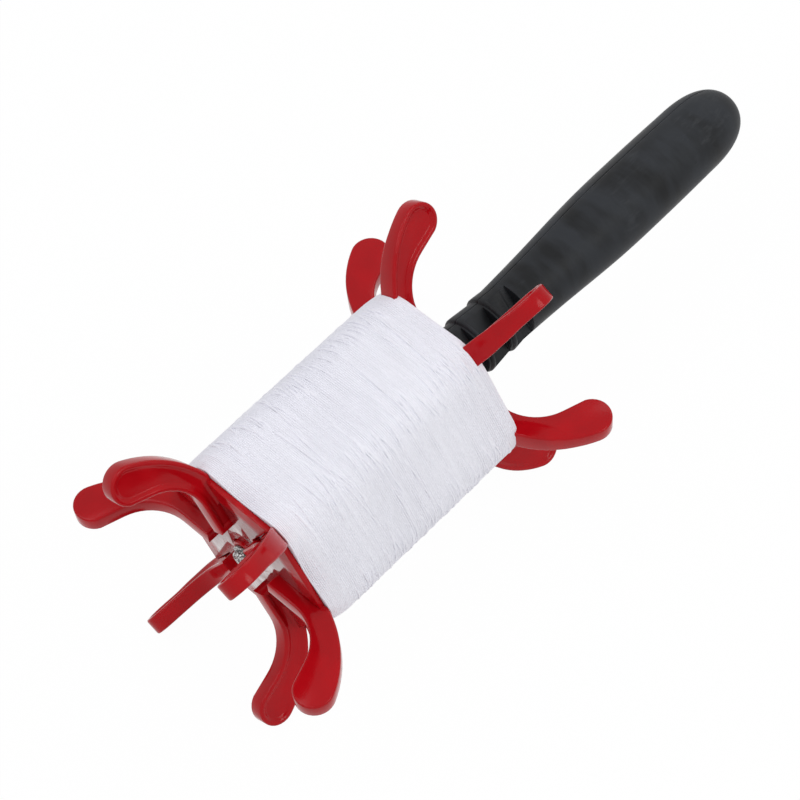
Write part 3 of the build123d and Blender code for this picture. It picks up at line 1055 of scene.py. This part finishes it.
class WINDER_OT_fittings(bpy.types.Operator):
    """Dress the spindle, its washers, pin and screw"""

    bl_idname = "winder.fittings"
    bl_label = "Spindle Fittings"

    def execute(self, context):
        bright = metal(
            "Bright Plated Steel", (0.62, 0.61, 0.6), roughness=0.38, scratch_scale=1.0,
            blotch_scale=1500.0, darkest=0.12,
        )
        plain = metal(
            "Plain Steel", (0.5, 0.5, 0.51), roughness=0.35, scratch_scale=6.0,
            blotch_scale=420.0, darkest=0.7,
        )
        for node in ("end_washer", "end_screw"):
            mesh = dressed_copy(node, f"bright_{node}", edge_round=0.12 * MM)
            add_piece(f"bright_{node}", mesh, "handle", bright, (node,))
        paint_nodes(("spindle", "anchor_pin", "thrust_washer"), plain)
        return {"FINISHED"}


# ------------ stage
PICTURE_SIZE = 800  # pixels along one side of the photograph
SENSOR_WIDTH = 36.0  # millimetres
FLOOR_REACH = 2.5
FLOOR_GLOW = 0.98  # share of its own light where the camera or a mirror sees it
AMBIENT_COLOUR = (0.955, 0.96, 1.0, 1.0)
AMBIENT_STRENGTH = 0.62
# Each lamp: its place from the spool's middle, its size, power and colour.
LAMPS = {
    "lamp_left": ((-0.5, 0.35, 1.3), 0.9, 5.5, (0.95, 0.955, 1.0)),
    "lamp_front": ((0.4, -1.1, 1.0), 0.7, 5.4, (1.0, 1.0, 0.96)),
    "lamp_right": ((1.1, 0.2, 0.9), 0.7, 2.2, (1.0, 1.0, 1.0)),
}


class WINDER_OT_stage(bpy.types.Operator):
    """Set up the floor, the light and the camera"""

    bl_idname = "winder.stage"
    bl_label = "Stage"

    def execute(self, context):
        settings = context.scene.winder_stage
        context.scene.view_settings.view_transform = "Standard"
        self.floor(settings)
        self.world(context)
        self.lamps()
        self.camera(context, settings)
        return {"FINISHED"}

    def floor(self, settings):
        """A pale floor that looks white to the camera and still takes a faint shadow."""
        bm = bmesh.new()
        bmesh.ops.create_grid(bm, x_segments=1, y_segments=1, size=FLOOR_REACH)
        floor = new_object("floor", mesh_from(bm, "floor"))
        material, tree, shader = new_material("Pale Floor")
        floor_tone = grey(settings.floor_level)
        set_inputs(shader, Base_Color=floor_tone, Roughness=0.9, Specular_IOR_Level=0.1)
        glow = add_node(tree, "ShaderNodeEmission", Strength=1.0)
        path = tree.nodes.new("ShaderNodeLightPath").outputs
        seen = combined(tree, "MAXIMUM", path["Is Camera Ray"], path["Is Glossy Ray"])
        share = add_node(tree, "ShaderNodeMath", operation="MULTIPLY")
        share.inputs[1].default_value = FLOOR_GLOW
        tree.links.new(seen, share.inputs[0])
        mix_shaders(
            tree, share.outputs["Value"], shader.outputs["BSDF"], glow.outputs["Emission"],
            "Material Output",
        )
        floor.data.materials.append(material)

    def world(self, context):
        """Soft light from all round, white where the camera or a reflection sees it."""
        world = bpy.data.worlds.new("Studio")
        context.scene.world = world
        world.use_nodes = True
        tree = world.node_tree
        background = tree.nodes["Background"]
        set_inputs(background, Color=AMBIENT_COLOUR, Strength=AMBIENT_STRENGTH)
        white = tree.nodes.new("ShaderNodeBackground")
        set_inputs(white, Color=grey(1.0), Strength=1.0)
        path = tree.nodes.new("ShaderNodeLightPath").outputs
        mirrored = combined(tree, "MAXIMUM", path["Is Glossy Ray"], path["Is Transmission Ray"])
        seen = combined(tree, "MAXIMUM", path["Is Camera Ray"], mirrored)
        mix_shaders(
            tree, seen, background.outputs["Background"], white.outputs["Background"],
            "World Output",
        )

    def lamps(self):
        """Three large soft lamps that face the middle of the spool."""
        for name, (place, size, power, colour) in LAMPS.items():
            lamp = bpy.data.lights.new(name, "AREA")
            lamp.color = colour
            lamp.size = size
            lamp.energy = power
            holder = new_object(name, lamp)
            holder.location = CENTRE + Vector(place)
            holder.rotation_mode = "QUATERNION"
            holder.rotation_quaternion = (-Vector(place)).to_track_quat("-Z", "Y")

    def camera(self, context, settings):
        """The camera of the photograph, from its angles and the spool's place in the picture."""
        away = Vector((
            -math.sin(settings.azimuth) * math.cos(settings.elevation),
            -math.cos(settings.azimuth) * math.cos(settings.elevation),
            math.sin(settings.elevation),
        ))
        level = Vector((0.0, 0.0, 1.0)).cross(away).normalized()
        upright = away.cross(level)
        right = level * math.cos(settings.roll) + upright * math.sin(settings.roll)
        up = upright * math.cos(settings.roll) - level * math.sin(settings.roll)
        scale = settings.distance / settings.focal_pixels
        offset_x = (settings.spool_pixel[0] - PICTURE_SIZE / 2) * scale
        offset_y = (settings.spool_pixel[1] - PICTURE_SIZE / 2) * scale
        place = CENTRE + away * settings.distance - right * offset_x + up * offset_y
        data = bpy.data.cameras.new("camera")
        data.sensor_fit = "HORIZONTAL"
        data.sensor_width = SENSOR_WIDTH
        data.lens = settings.focal_pixels / PICTURE_SIZE * SENSOR_WIDTH
        camera = new_object("camera", data)
        turn = Matrix((right, up, away)).transposed().to_4x4()
        camera.matrix_world = Matrix.Translation(place) @ turn
        context.scene.camera = camera


# ------------ panel
OPERATORS = (
    WINDER_OT_blades, WINDER_OT_hub, WINDER_OT_line, WINDER_OT_handle, WINDER_OT_fittings,
    WINDER_OT_stage,
)
SETTINGS = {
    "winder_blades": WinderBladeSettings,
    "winder_line": WinderLineSettings,
    "winder_handle": WinderHandleSettings,
    "winder_stage": WinderStageSettings,
}


class WINDER_PT_panel(bpy.types.Panel):
    """Sidebar panel with every piece of the winder"""

    bl_idname = "WINDER_PT_panel"
    bl_label = "Line Winder"
    bl_space_type = "VIEW_3D"
    bl_region_type = "UI"
    bl_category = "Line Winder"

    def draw(self, context):
        for operator in OPERATORS:
            self.layout.operator(operator.bl_idname)
        for name, group in SETTINGS.items():
            box = self.layout.box()
            for key in group.__annotations__:
                box.prop(getattr(context.scene, name), key)


def register():
    """Add the settings, the operators and the panel."""
    for name, group in SETTINGS.items():
        bpy.utils.register_class(group)
        setattr(bpy.types.Scene, name, bpy.props.PointerProperty(type=group))
    for item in (*OPERATORS, WINDER_PT_panel):
        bpy.utils.register_class(item)


def unregister():
    """Take the panel, the operators and the settings away."""
    for item in (WINDER_PT_panel, *reversed(OPERATORS)):
        bpy.utils.unregister_class(item)
    for name, group in SETTINGS.items():
        delattr(bpy.types.Scene, name)
        bpy.utils.unregister_class(group)


def main():
    """Build everything in order."""
    register()
    bpy.ops.winder.blades()
    bpy.ops.winder.hub()
    bpy.ops.winder.line()
    bpy.ops.winder.handle()
    bpy.ops.winder.fittings()
    bpy.ops.winder.stage()


if __name__ == "__main__":
    main()
